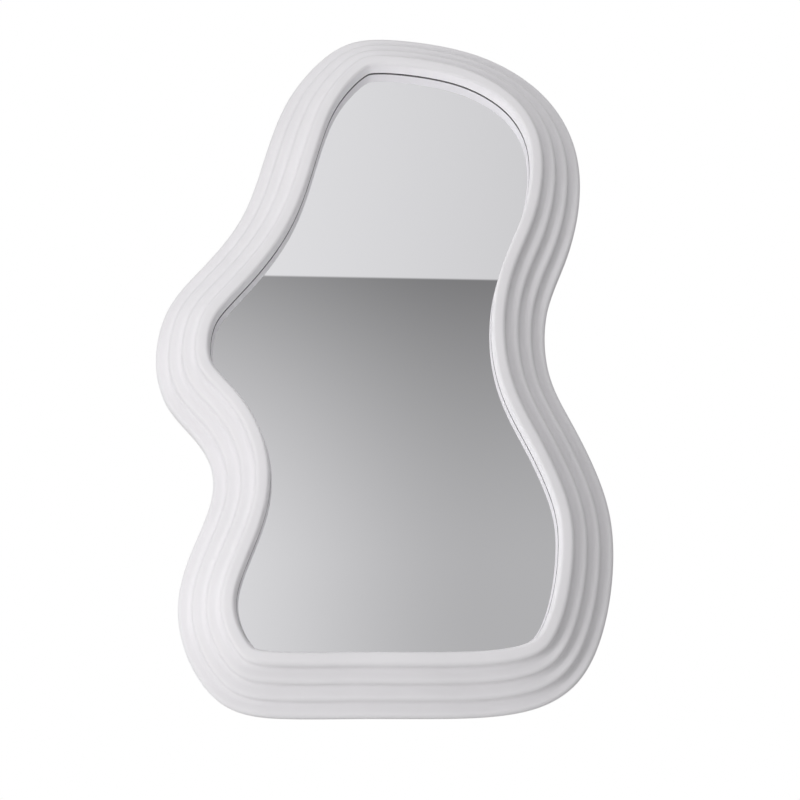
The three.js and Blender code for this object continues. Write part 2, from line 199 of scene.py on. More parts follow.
def calc(tree, operation, first, second=0.0, clamp=False):
    # first (operation) second, held between 0 and 1 on request
    return addNode(tree, "ShaderNodeMath", {0: first, 1: second}, operation=operation,
                   use_clamp=clamp).outputs[0]


def remap(tree, value, low, high, toLow=0.0, toHigh=1.0, smooth=False):
    # value from low..high to toLow..toHigh, held at both ends
    node = addNode(tree, "ShaderNodeMapRange", {
        "Value": value, "From Min": low, "From Max": high, "To Min": toLow, "To Max": toHigh,
    }, interpolation_type="SMOOTHSTEP" if smooth else "LINEAR")
    return node.outputs[0]


def mixColour(tree, share, first, second):
    # first * (1 - share) + second * share, where a colour of three numbers gets an alpha of 1
    first, second = [(*value, 1) if isinstance(value, tuple) else value
                     for value in (first, second)]
    return addNode(tree, "ShaderNodeMix", {0: share, 6: first, 7: second},
                   data_type="RGBA").outputs[2]


def newGroup(name, inputs, output):
    # A group with the given inputs (name, kind, first value) and one value as its output
    group = bpy.data.node_groups.new(name, "ShaderNodeTree")
    for label, kind, value in inputs:
        socket = group.interface.new_socket(label, in_out="INPUT", socket_type=kind)
        if value is not None:
            socket.default_value = value
    group.interface.new_socket(output, in_out="OUTPUT", socket_type="NodeSocketFloat")
    return group, group.nodes.new("NodeGroupInput"), group.nodes.new("NodeGroupOutput")


noiseForm = {
    "cloudDetail": 2.0, "cloudRange": (0.32, 0.68),  # the noise that becomes Low and High
    "grainDetail": 4.0, "grainRoughness": 0.6,
}


def makeMottle():
    # Slow cloudy change: noise with features of the given size, spread from Low to High
    group, start, end = newGroup("mottle", [
        ("Vector", "NodeSocketVector", None), ("Size", "NodeSocketFloat", 0.1),
        ("Low", "NodeSocketFloat", 0.0), ("High", "NodeSocketFloat", 1.0)], "Mask")
    scale = calc(group, "DIVIDE", 1.0, start.outputs["Size"])
    noise = addNode(group, "ShaderNodeTexNoise", {
        "Vector": start.outputs["Vector"], "Scale": scale, "Detail": noiseForm["cloudDetail"]})
    mask = remap(group, noise.outputs[0], *noiseForm["cloudRange"], start.outputs["Low"],
                 start.outputs["High"])
    group.links.new(mask, end.inputs["Mask"])
    return group


def makeGrain():
    # Fine surface relief: rough noise with features of the given size
    group, start, end = newGroup("grain", [
        ("Vector", "NodeSocketVector", None), ("Size", "NodeSocketFloat", 0.001)], "Height")
    scale = calc(group, "DIVIDE", 1.0, start.outputs["Size"])
    noise = addNode(group, "ShaderNodeTexNoise", {
        "Vector": start.outputs["Vector"], "Scale": scale, "Detail": noiseForm["grainDetail"],
        "Roughness": noiseForm["grainRoughness"]})
    group.links.new(noise.outputs[0], end.inputs["Height"])
    return group


def makeSpecks():
    # Sparse round dots: a cell gets one if its random number is under Share, and the dot's
    # radius is the given part of the cell's size
    group, start, end = newGroup("specks", [
        ("Vector", "NodeSocketVector", None), ("Size", "NodeSocketFloat", 0.01),
        ("Share", "NodeSocketFloat", 0.2), ("Radius", "NodeSocketFloat", 0.1)], "Mask")
    scale = calc(group, "DIVIDE", 1.0, start.outputs["Size"])
    cells = addNode(group, "ShaderNodeTexVoronoi", {
        "Vector": start.outputs["Vector"], "Scale": scale, "Randomness": 1.0})
    near = calc(group, "LESS_THAN", cells.outputs["Distance"], start.outputs["Radius"])
    lucky = addNode(group, "ShaderNodeSeparateColor", {0: cells.outputs["Color"]})
    picked = calc(group, "LESS_THAN", lucky.outputs[0], start.outputs["Share"])
    group.links.new(calc(group, "MULTIPLY", near, picked), end.inputs["Mask"])
    return group


groups = {"mottle": makeMottle(), "grain": makeGrain(), "specks": makeSpecks()}


def useGroup(tree, name, inputs):
    return addNode(tree, "ShaderNodeGroup", inputs, node_tree=groups[name]).outputs[0]


def startMaterial(name):
    # Gives the material, its tree, its shader and the place on the object in metres
    material = bpy.data.materials.new(name)
    material.use_nodes = True
    tree = material.node_tree
    place = addNode(tree, "ShaderNodeTexCoord").outputs["Object"]
    return material, tree, tree.nodes["Principled BSDF"], place


def addBump(tree, shader, height, distance):
    # Relief of height * distance
    bump = addNode(tree, "ShaderNodeBump", {"Height": height, "Distance": distance})
    tree.links.new(bump.outputs[0], shader.inputs["Normal"])


# ---- materials ----
lacquerLook = {
    "white": (0.836, 0.822, 0.841), "shade": (0.801, 0.788, 0.806), "mottleSize": 0.12,
    "foam": (0.72, 0.66, 0.52), "pore": (0.50, 0.44, 0.32),
    "poreSize": 0.0022, "poreShare": 0.6, "poreRadius": 0.3,
    # y where the paint thins out towards the sanded back, and how far and how often that strays
    "paintEnd": (-0.0092, -0.0078), "spray": 0.0006, "spraySize": 0.006,
    "grainSize": 0.0011, "grainHeight": 0.00003,
    "roughness": (0.44, 0.56), "sheenSize": 0.03, "foamRoughness": 0.35,
    # painted shade where the lip meets the glass: its colour, how far it reaches and how shut the corner is
    "paintedShade": (0.19, 0.185, 0.185), "paintedShadeReach": 0.004, "paintedShadeRange": (0.55, 0.66),
}


def whiteLacquer():
    # Satin lacquer with a fine orange peel; the flat back is sanded foam with open pores. Painted
    # shade fades from 1 to 0 as the share of open sky within its reach grows over its range.
    look = lacquerLook
    material, tree, shader, place = startMaterial("white_lacquer")
    cloud = useGroup(tree, "mottle", {"Vector": place, "Size": look["mottleSize"]})
    paint = mixColour(tree, cloud, look["white"], look["shade"])
    y = addNode(tree, "ShaderNodeSeparateXYZ", {0: place}).outputs[1]
    spray = useGroup(tree, "mottle", {
        "Vector": place, "Size": look["spraySize"], "Low": -look["spray"], "High": look["spray"]})
    bare = remap(tree, calc(tree, "ADD", y, spray), *look["paintEnd"], smooth=True)
    pores = useGroup(tree, "specks", {
        "Vector": place, "Size": look["poreSize"], "Share": look["poreShare"],
        "Radius": look["poreRadius"]})
    foam = mixColour(tree, pores, look["foam"], look["pore"])
    # painted shade: ambient occlusion darkens the lacquer in the corner where the lip meets the glass
    sky = addNode(tree, "ShaderNodeAmbientOcclusion", {"Distance": look["paintedShadeReach"]})
    clear = remap(tree, sky.outputs["AO"], *look["paintedShadeRange"], smooth=True)
    shadedPaint = mixColour(tree, clear, look["paintedShade"], paint)
    tree.links.new(mixColour(tree, bare, shadedPaint, foam), shader.inputs["Base Color"])
    sheen = useGroup(tree, "mottle", {
        "Vector": place, "Size": look["sheenSize"], "Low": look["roughness"][0],
        "High": look["roughness"][1]})
    dull = calc(tree, "MULTIPLY", bare, look["foamRoughness"])
    tree.links.new(calc(tree, "ADD", sheen, dull, clamp=True), shader.inputs["Roughness"])
    peel = useGroup(tree, "grain", {"Vector": place, "Size": look["grainSize"]})
    relief = calc(tree, "SUBTRACT", peel, calc(tree, "MULTIPLY", pores, bare))
    addBump(tree, shader, relief, look["grainHeight"])
    return material


mirrorLook = {
    "silver": (0.925, 0.924, 0.935), "haze": 0.006, "hazeSize": 0.2,
    "backPaint": (0.16, 0.17, 0.18), "backRoughness": 0.7, "faceDepth": 0.0005,
    "dust": (0.45, 0.44, 0.43), "dustSize": 0.03, "dustShare": 0.05, "dustRadius": 0.012,
    "dustRoughness": 0.6,
}


def silveredGlass():
    # Silver behind clear glass, a speck of dust here and there, grey paint on the back
    look = mirrorLook
    material, tree, shader, place = startMaterial("mirror_glass")
    y = addNode(tree, "ShaderNodeSeparateXYZ", {0: place}).outputs[1]
    glass = nodes["mirror_glass"]
    frontLevel = min((glass.matrix_world @ vertex.co).y for vertex in glass.data.vertices)
    front = calc(tree, "LESS_THAN", y, frontLevel + look["faceDepth"])
    dust = useGroup(tree, "specks", {
        "Vector": place, "Size": look["dustSize"], "Share": look["dustShare"],
        "Radius": look["dustRadius"]})
    haze = useGroup(tree, "mottle", {
        "Vector": place, "Size": look["hazeSize"], "Low": 0.0, "High": look["haze"]})
    silver = mixColour(tree, dust, look["silver"], look["dust"])
    tree.links.new(mixColour(tree, front, look["backPaint"], silver), shader.inputs["Base Color"])
    clean = calc(tree, "SUBTRACT", 1.0, dust)
    tree.links.new(calc(tree, "MULTIPLY", front, clean), shader.inputs["Metallic"])
    rough = calc(tree, "ADD", haze, calc(tree, "MULTIPLY", dust, look["dustRoughness"]))
    painted = calc(tree, "MULTIPLY", calc(tree, "SUBTRACT", 1.0, front), look["backRoughness"])
    tree.links.new(calc(tree, "ADD", rough, painted), shader.inputs["Roughness"])
    return material


boardLook = {
    "light": (0.47, 0.34, 0.21), "dark": (0.41, 0.29, 0.175), "fibre": (0.58, 0.45, 0.30),
    "fibreSize": 0.0012, "fibreScale": (1.0, 1.0, 0.35), "fibreTurn": (0.0, 0.6, 0.0),
    "fibreRange": (0.52, 0.68), "cloudSize": 0.05, "relief": 0.00006, "roughness": 0.82,
}


def fibreboard():
    # Pressed fibres: short pale and dark streaks over a slow cloud
    look = boardLook
    material, tree, shader, place = startMaterial("fibreboard")
    cloud = useGroup(tree, "mottle", {"Vector": place, "Size": look["cloudSize"]})
    base = mixColour(tree, cloud, look["light"], look["dark"])
    turned = addNode(tree, "ShaderNodeMapping", {
        "Vector": place, "Scale": look["fibreScale"], "Rotation": look["fibreTurn"]}).outputs[0]
    streaks = useGroup(tree, "grain", {"Vector": turned, "Size": look["fibreSize"]})
    pale = remap(tree, streaks, *look["fibreRange"])
    tree.links.new(mixColour(tree, pale, base, look["fibre"]), shader.inputs["Base Color"])
    shader.inputs["Roughness"].default_value = look["roughness"]
    addBump(tree, shader, streaks, look["relief"])
    return material


steelLook = {
    "bright": (0.60, 0.605, 0.62), "dull": (0.46, 0.466, 0.48), "spangleSize": 0.006,
    "scratchSize": 0.0006, "scratchScale": (1.0, 1.0, 0.08), "relief": 0.00002,
    "roughness": (0.28, 0.46),
}


def zincSteel():
    # Zinc plating: cloudy bright and dull patches with fine drawn lines
    look = steelLook
    material, tree, shader, place = startMaterial("zinc_steel")
    cloud = useGroup(tree, "mottle", {"Vector": place, "Size": look["spangleSize"]})
    tree.links.new(mixColour(tree, cloud, look["bright"], look["dull"]),
                   shader.inputs["Base Color"])
    shader.inputs["Metallic"].default_value = 1.0
    tree.links.new(remap(tree, cloud, 0.0, 1.0, *look["roughness"]), shader.inputs["Roughness"])
    stretched = addNode(tree, "ShaderNodeMapping", {
        "Vector": place, "Scale": look["scratchScale"]}).outputs[0]
    lines = useGroup(tree, "grain", {"Vector": stretched, "Size": look["scratchSize"]})
    addBump(tree, shader, lines, look["relief"])
    return material


rubberLook = {
    "black": (0.028, 0.028, 0.029), "bloom": (0.055, 0.055, 0.056), "bloomSize": 0.008,
    "grainSize": 0.0007, "relief": 0.00004, "roughness": 0.68,
}


def blackRubber():
    # Moulded rubber with a faint pale bloom
    look = rubberLook
    material, tree, shader, place = startMaterial("black_rubber")
    bloom = useGroup(tree, "mottle", {"Vector": place, "Size": look["bloomSize"]})
    tree.links.new(mixColour(tree, bloom, look["black"], look["bloom"]),
                   shader.inputs["Base Color"])
    shader.inputs["Roughness"].default_value = look["roughness"]
    grain = useGroup(tree, "grain", {"Vector": place, "Size": look["grainSize"]})
    addBump(tree, shader, grain, look["relief"])
    return material


tapeLook = {
    "black": (0.035, 0.034, 0.033), "cell": (0.012, 0.012, 0.012), "cellSize": 0.0009,
    "cellShare": 0.8, "cellRadius": 0.35, "relief": 0.0001, "roughness": 0.92,
}


def foamTape():
    # Closed-cell foam: small dark cells in a matt black skin
    look = tapeLook
    material, tree, shader, place = startMaterial("setting_tape")
    cells = useGroup(tree, "specks", {
        "Vector": place, "Size": look["cellSize"], "Share": look["cellShare"],
        "Radius": look["cellRadius"]})
    tree.links.new(mixColour(tree, cells, look["black"], look["cell"]),
                   shader.inputs["Base Color"])
    shader.inputs["Roughness"].default_value = look["roughness"]
    addBump(tree, shader, calc(tree, "SUBTRACT", 1.0, cells), look["relief"])
    return material


fillerLook = {
    "bead": (0.84, 0.84, 0.81), "seam": (0.66, 0.66, 0.62), "beadSize": 0.0035,
    "seamWidth": 0.12, "cloudSize": 0.02, "cloudLow": 0.85, "relief": 0.0002, "roughness": 0.85,
}


def beadFoam():
    # Expanded foam: pressed beads with darker seams, from the distance to the cell's edge
    look = fillerLook
    material, tree, shader, place = startMaterial("filler_foam")
    cells = addNode(tree, "ShaderNodeTexVoronoi", {
        "Vector": place, "Scale": 1 / look["beadSize"]}, feature="DISTANCE_TO_EDGE")
    inside = remap(tree, cells.outputs["Distance"], 0.0, look["seamWidth"], smooth=True)
    cloud = useGroup(tree, "mottle", {
        "Vector": place, "Size": look["cloudSize"], "Low": look["cloudLow"], "High": 1.0})
    share = calc(tree, "MULTIPLY", inside, cloud)
    tree.links.new(mixColour(tree, share, look["seam"], look["bead"]),
                   shader.inputs["Base Color"])
    shader.inputs["Roughness"].default_value = look["roughness"]
    addBump(tree, shader, inside, look["relief"])
    return material


materials = {
    "white_lacquer": whiteLacquer(), "mirror_glass": silveredGlass(),
    "fibreboard": fibreboard(), "zinc_steel": zincSteel(), "black_rubber": blackRubber(),
    "setting_tape": foamTape(), "filler_foam": beadFoam(),
}
nodeSlots = {entry["node"]: entry["material_slot"] for entry in frame["record"]["subparts"]}
for nodeName, node in nodes.items():
    node.data.materials.clear()
    node.data.materials.append(materials[nodeSlots[nodeName]])
print("stage 2:", len(materials), "materials on the packed nodes")

# ---- frame moulding ----
moulding = {
    "tiers": 4, "pitch": 19.6, "rise": 16.9, "draft": 1.3, "land": 16.9,
    "edgeRadius": 6.5, "rootRadius": 9.0, "lipRadius": 4.0, "footRadius": 1.0, "arcSteps": 8,
    "lipDepth": 23.3, "tape": 1.0, "cover": 8.0, "clearance": 2.0,
}


def faceSizes():
    # Depth of the moulding, its width seen from in front, the level of the glass's face, and how
    # far in the rebate's wall stands
    size = moulding
    depth = size["tiers"] * size["rise"]
    face = (size["tiers"] - 1) * size["pitch"] + size["draft"] + size["land"]
    return depth, face, depth - size["lipDepth"], face - size["cover"] - size["clearance"]


def mouldingSection():
    # Corners of the section from the wall over the tiers to the lip and back down the rebate
    size = moulding
    depth, face, glassLevel, rebate = faceSizes()
    tier = np.arange(size["tiers"])
    edges = np.stack([tier * size["pitch"] + size["draft"], (tier + 1) * size["rise"],
                      np.full(len(tier), size["edgeRadius"])], 1)
    roots = np.stack([(tier + 1) * size["pitch"], (tier + 1) * size["rise"],
                      np.full(len(tier), size["rootRadius"])], 1)
    steps = np.stack([edges, roots], 1).reshape(-1, 3)[:-1]
    shoulder = glassLevel + size["tape"] + 2 * drawing["fitGap"]
    back = [(face, depth, size["lipRadius"]), (face, shoulder, size["footRadius"]),
            (rebate, shoulder, 0), (rebate, 0, 0)]
    return roundedLoop(np.vstack([[(0, 0, 0)], steps, back]), size["arcSteps"])[0]


def sweptPoints(section):
    # Point (i, j) = outline place i - normal i * inset j, at level j, with the inset held short
    # of the centre of a tight bend
    place, normal, limit = outlineStations()
    inset = np.minimum(section[None, :, 0], limit[:, None])
    flat = place[:, None] - normal[:, None] * inset[..., None]
    return toFrame(flat[..., 0], flat[..., 1], section[None, :, 1])


def buildMoulding():
    # The closed section carried once round the closed outline
    points = sweptPoints(mouldingSection())
    faces = gridFaces(*points.shape[:2], closedRows=True)
    addPiece("frame_moulding_surface", points, [faces], "white_lacquer", "mirror",
             ["frame_moulding"])


buildMoulding()
print("stage 3: frame moulding")

# ---- what lies in the rebate ----
rebateParts = {
    "tapeWidth": 5.0, "tapeRounding": 0.3, "boardClearance": 1.0, "boardThickness": 9.0,
    "boardRounding": 0.4, "arcSteps": 3,
}


def buildTape():
    # Flat band between the glass and the lip, with rounded edges
    size, gap = rebateParts, drawing["fitGap"]
    face, glassLevel = faceSizes()[1:3]
    low, high = glassLevel + gap, glassLevel + gap + moulding["tape"]
    outer = face - moulding["cover"] + gap
    inner, rounding = outer + size["tapeWidth"], size["tapeRounding"]
    corners = [(outer, low, rounding), (inner, low, rounding), (inner, high, rounding),
               (outer, high, rounding)]
    points = sweptPoints(roundedLoop(corners, size["arcSteps"])[0])
    faces = gridFaces(*points.shape[:2], closedRows=True)
    addPiece("tape_seal", points, [faces], "setting_tape", "mirror", ["setting_tape"])


def buildBoard():
    # The edge's section runs round the outline, and a flat face closes each side of it
    size = rebateParts
    inset, rounding = faceSizes()[3] + size["boardClearance"], size["boardRounding"]
    turn = np.linspace(0, math.pi / 2, size["arcSteps"] + 1)
    low = np.stack([inset + rounding * (1 - np.sin(turn)), rounding * (1 - np.cos(turn))], 1)
    high = np.stack([low[::-1, 0], size["boardThickness"] - low[::-1, 1]], 1)
    points = sweptPoints(np.vstack([low, high]))
    rows, columns = points.shape[:2]
    ring = np.arange(rows)[None, :] * columns
    ends = [ring[:, ::-1], ring + columns - 1]
    faceSets = [gridFaces(rows, columns, closedRows=True, closedColumns=False), *ends]
    addPiece("board_panel", points, faceSets, "fibreboard", "mirror", ["back_board"])


buildTape()
buildBoard()
print("stage 4: tape and back board")

# ---- turn buttons ----
turnButton = {
    "pivotRadius": 7.0, "tipRadius": 5.0, "arm": 20.0, "holeRadius": 1.9, "thickness": 1.2,
    "edgeRadius": 0.3, "edgeSteps": 3, "directions": 64,
}
jointPlaces = {joint["child"]: Vector(joint["pos_m"]) for joint in frame["joints"]}


def bandSection(low, high, edge, steps):
    # Section of a flat band as [share across, distance from that edge, level]. The quarter arc
    # at a corner is centre + edge * (cos, sin) of its angle.
    section = []
    for share, level, start in ((1, high, 0), (0, high, 90), (0, low, 180), (1, low, 270)):
        angle = np.radians(start + np.linspace(0, 90, steps + 1))
        centre = [edge if share == 0 else -edge, level - edge if level == high else level + edge]
        section.append(np.stack([np.full(steps + 1, float(share)),
                                 centre[0] + edge * np.cos(angle),
                                 centre[1] + edge * np.sin(angle)], 1))
    return np.vstack(section)


def buildTurnButton(number):
    # Outline point in direction d: pivot circle's radius * d, or the tip's centre + its radius *
    # d, whichever lies further that way. The band between hole and outline is then
    # hole + (outline - hole) * (share + distance / length).
    size = turnButton
    node = nodes[f"turn_button_{number}"]
    pivot = jointPlaces[f"button_{number}"]
    corners = np.array([node.matrix_world @ vertex.co for vertex in node.data.vertices])
    away = (corners - np.array(pivot))[:, [0, 2]] * 1000
    far = away[np.linalg.norm(away, axis=1) > size["arm"]].mean(0)
    angle = np.linspace(0, 2 * math.pi, size["directions"], endpoint=False)
    direction = np.stack([np.cos(angle), np.sin(angle)], 1)
    tip = size["arm"] * far / np.linalg.norm(far)
    tipWins = (direction @ tip + size["tipRadius"] > size["pivotRadius"])[:, None]
    outer = np.where(tipWins, tip + size["tipRadius"] * direction,
                     size["pivotRadius"] * direction)
    inner = size["holeRadius"] * direction
    level = -drawing["fitGap"]
    section = bandSection(level - size["thickness"], level, size["edgeRadius"],
                          size["edgeSteps"])
    length = np.linalg.norm(outer - inner, axis=1)
    part = section[None, :, 0] + section[None, :, 1] / length[:, None]
    flat = inner[:, None] + (outer - inner)[:, None] * part[..., None]
    points = toFrame(flat[..., 0] + pivot.x * 1000 + drawing["hooksAcross"],
                     flat[..., 1] + pivot.z * 1000 + drawing["hookHeight"],
                     section[None, :, 2])
    faces = gridFaces(*points.shape[:2], closedRows=True)
    addPiece(f"button_plate_{number}", points, [faces], "zinc_steel", f"button_{number}",
             [node.name])


buttonNumbers = range(1, 1 + sum(name.startswith("turn_button_screw") for name in nodes))
for buttonNumber in buttonNumbers:
    buildTurnButton(buttonNumber)
print("stage 5: turn buttons")

# ---- screws ----
screws = {
    # names that start so: radius of the shank, its length, radius and height of the head
    "turn_button_screw": (1.6, 18.0, 3.4, 2.1),
    "hanger_screw": (1.8, 26.0, 3.6, 2.2),
}
screwForm = {
    "seat": -1.8, "tipLength": 2.0, "dome": 4.0, "slotWidth": 0.17, "slotReach": 0.6,
    "slotDepth": 0.55, "slotSlope": 0.12, "rim": 0.12, "sides": 48, "rings": 18, "turnStep": 2.4,
    "thread": 0.22, "threadPitch": 1.3, "threadRows": 4, "threadStart": 2.0,
    # shares of a radius: the head's first ring, its underside and the ring behind the point
    "firstRing": 0.04, "underside": 0.97, "taper": 0.9, "pointRadius": 0.02,
    "ringPower": 0.8, "domeEnd": 0.999,
}


def smoothShare(value):
    # 3 s^2 - 2 s^3 of the value held between 0 and 1
    share = np.clip(value, 0, 1)
    return share * share * (3 - 2 * share)


def buildScrew(name, size, turn):
    # Rings round the axis, from the middle of the head to the point. The head's level is
    # seat - height * (1 - share^dome)^1/2, and the cross in it is cut where the smaller of the
    # two distances from its arms is under the slot's half width. The shank's radius is the
    # full one - thread * smoothShare(1/2 + cos(2 pi * level / pitch - angle)).
    shankRadius, length, headRadius, headHeight = size
    form = screwForm
    node = nodes[name]
    corners = np.array([node.matrix_world @ vertex.co for vertex in node.data.vertices])
    middle = (corners.min(0) + corners.max(0)) / 2 * 1000
    angle = np.linspace(0, 2 * math.pi, form["sides"], endpoint=False)[None, :]
    share = np.linspace(form["firstRing"], 1, form["rings"])[:, None] ** form["ringPower"]
    dome = np.sqrt(1 - np.minimum(share, form["domeEnd"]) ** form["dome"])
    first, second = [abs(share * wave(angle + turn)) for wave in (np.cos, np.sin)]
    near, far = np.minimum(first, second), np.maximum(first, second)
    slot = (smoothShare((form["slotWidth"] - near) / form["slotSlope"])
            * smoothShare((form["slotReach"] - far) / form["slotSlope"]))
    headLevel = form["seat"] - headHeight * dome * (1 - form["slotDepth"] * slot)
    headRows = np.stack(np.broadcast_arrays(share * headRadius, headLevel), -1)
    rim = form["seat"] - form["rim"]
    tipLevel = form["seat"] + length - form["tipLength"] * shankRadius
    turns = np.arange(rim + form["threadStart"], tipLevel,
                      form["threadPitch"] / form["threadRows"])[:, None]
    wave = np.cos(2 * math.pi * turns / form["threadPitch"] - angle)
    threadRadius = shankRadius - form["thread"] * smoothShare(0.5 + wave)
    lower = [(headRadius, rim), (headRadius * form["underside"], form["seat"]),
             (shankRadius, form["seat"])]
    lowerRows = np.broadcast_to(np.array(lower)[:, None], (len(lower), form["sides"], 2))
    threadRows = np.stack(np.broadcast_arrays(threadRadius, turns), -1)
    tip = [(shankRadius * form["taper"], tipLevel), (form["pointRadius"], form["seat"] + length)]
    tipRows = np.broadcast_to(np.array(tip)[:, None], (len(tip), form["sides"], 2))
    rows = np.concatenate([headRows, lowerRows, threadRows, tipRows])
    across = middle[0] + drawing["hooksAcross"] + rows[..., 0] * np.cos(angle)
    up = middle[2] + drawing["hookHeight"] + rows[..., 0] * np.sin(angle)
    points, faceSets = cappedTube(toFrame(across, up, rows[..., 1]))
    addPiece(name.replace("screw", "pan_head"), points, faceSets, "zinc_steel", "mirror", [name])


for start, screwSize in screws.items():
    for order, screwName in enumerate(sorted(name for name in nodes if name.startswith(start))):
        buildScrew(screwName, screwSize, order * screwForm["turnStep"])
print("stage 6: screws")

# ---- hangers ----
hanger = {
    "axisLevel": -3.3, "wireRadius": 1.5, "wireSides": 24, "bendSteps": 14,
    # the wire's corners [across, up from the bar, radius], and its lean towards the frame
    "loop": [(-12, 0, 3), (-12, 21, 12), (12, 21, 12), (12, 0, 3)], "lean": 4.096,
    "foldRadius": 2.4, "foldTurn": 225.0, "foldSteps": 40, "strapLength": 44.0, "halfWidth": 8.0,
    "cornerRadius": 6.0, "cornerSteps": 14, "thickness": 1.2, "edgeRadius": 0.3, "edgeSteps": 3,
}


def buildLoop(side, across):
    # Wire ring round the rounded corners: centre line + radius * (away * cos + level * sin),
    # then turned about the bar by the lean
    size = hanger
    line, away = roundedLoop(size["loop"], size["bendSteps"])
    angle = np.linspace(0, 2 * math.pi, size["wireSides"], endpoint=False)
    flat = line[:, None] + size["wireRadius"] * away[:, None] * np.cos(angle)[None, :, None]
    out = size["wireRadius"] * np.sin(angle)[None, :]
    lean = math.radians(size["lean"])
    up = drawing["hookHeight"] + flat[..., 1] * math.cos(lean) - out * math.sin(lean)
    level = size["axisLevel"] + flat[..., 1] * math.sin(lean) + out * math.cos(lean)
    points = toFrame(across + flat[..., 0], up, level)
    faces = gridFaces(*points.shape[:2], closedRows=True)
    addPiece(f"loop_wire_{side}", points, [faces], "zinc_steel", f"loop_{side}",
             [f"hanger_loop_{side}"])


def buildStrap(side, across):
    # The strap's middle line runs up its length and round the bar, and the band's section
    # stands square to it. Near the lower end its half width is
    # half - corner + (corner^2 - (corner - distance)^2)^1/2.
    size = hanger
    radius, corner = size["foldRadius"], size["cornerRadius"]
    run = corner * (1 - np.cos(np.linspace(0, math.pi / 2, size["cornerSteps"])))
    turn = np.radians(np.linspace(0, size["foldTurn"], size["foldSteps"]))
    up = np.concatenate([run - size["strapLength"], radius * np.sin(turn)])
    level = np.concatenate([np.full(len(run), radius), radius * np.cos(turn)])
    tilt = np.concatenate([np.zeros(len(run)), turn])
    half = np.full(len(up), size["halfWidth"])
    half[:len(run)] += np.sqrt(corner ** 2 - (corner - run) ** 2) - corner
    section = bandSection(-size["thickness"] / 2, size["thickness"] / 2, size["edgeRadius"],
                          size["edgeSteps"])
    wide = half[:, None] * (2 * section[None, :, 0] - 1) + section[None, :, 1]
    out = section[None, :, 2]
    points, faceSets = cappedTube(toFrame(
        across + wide,
        drawing["hookHeight"] + up[:, None] + out * np.sin(tilt)[:, None],
        size["axisLevel"] + level[:, None] + out * np.cos(tilt)[:, None]))
    addPiece(f"strap_band_{side}", points, faceSets, "zinc_steel", "mirror",
             [f"hanger_strap_{side}"])


for side in ("left", "right"):
    barAcross = jointPlaces[f"loop_{side}"].x * 1000 + drawing["hooksAcross"]
    buildLoop(side, barAcross)
    buildStrap(side, barAcross)
print("stage 7: hangers")

# ---- wall bumpers ----
bumper = {
    # corners [radius, height, rounding] of half the section, from the base to the flat end
    "profile": [(8.0, 0.0, 0.4), (7.4, 2.6, 3.0), (5.9, 7.0, 1.8), (0.0, 7.0, 0.0),
                (0.0, 0.0, 0.0)],
    "cornerSteps": 7, "sides": 56,
    "innerRadius": 0.5,  # points nearer to the axis give way to the pole
}


def buildBumper(name):
    # Half section turned about the bumper's axis
    node = nodes[name]
    corners = np.array([node.matrix_world @ vertex.co for vertex in node.data.vertices])
    middle = (corners.min(0) + corners.max(0)) / 2 * 1000
    profile = roundedLoop(bumper["profile"], bumper["cornerSteps"])[0]
    profile = profile[profile[:, 0] > bumper["innerRadius"]]
    angle = np.linspace(0, 2 * math.pi, bumper["sides"], endpoint=False)
    across = middle[0] + drawing["hooksAcross"] + profile[:, :1] * np.cos(angle)
    up = middle[2] + drawing["hookHeight"] + profile[:, :1] * np.sin(angle)
    level = -drawing["fitGap"] - profile[:, 1:]
    points, faceSets = cappedTube(toFrame(across, up, level))
    addPiece(name.replace("wall", "rubber"), points, faceSets, "black_rubber", "mirror", [name])


for bumperName in [name for name in nodes if name.startswith("wall_bumper")]:
    buildBumper(bumperName)
print("stage 8: bumpers")

# ---- surroundings seen by the glass, and the light ----
surroundings = {
    "background": (1.0, 1.0, 1.0),
    "ambient": (0.362, 0.362, 0.365),
    # what is reflected: a pale upper wall over a grey one, parted by a nearly level edge
    "line": 0.3783, "edgeRise": 0.4093, "edgeTilt": 0.007, "edgeSoftness": 0.0012,
    "upper": 0.745, "upperFall": 0.55, "upperReach": 0.2,
    "lower": 0.471, "lowerFall": 0.257, "fallStart": 0.129, "fallPower": 1.46,
    "leftGain": 0.675, "leftRange": (0.111, -0.192), "tint": (0.995, 0.993, 1.006),
    # the room beside that, from its left to its right, and the light that the glass passes on
    "sideLeft": 0.72, "sideRight": 0.45, "sideRange": (0.25, 0.5), "slopeReach": 0.5,
    "passedLeft": 2.4, "passedRight": 0.0,
}


def scattered(tree, path):
    # 1 for a ray that a matt surface has sent on before, and otherwise 0
    return calc(tree, "GREATER_THAN", path.outputs["Diffuse Depth"], 0.5)


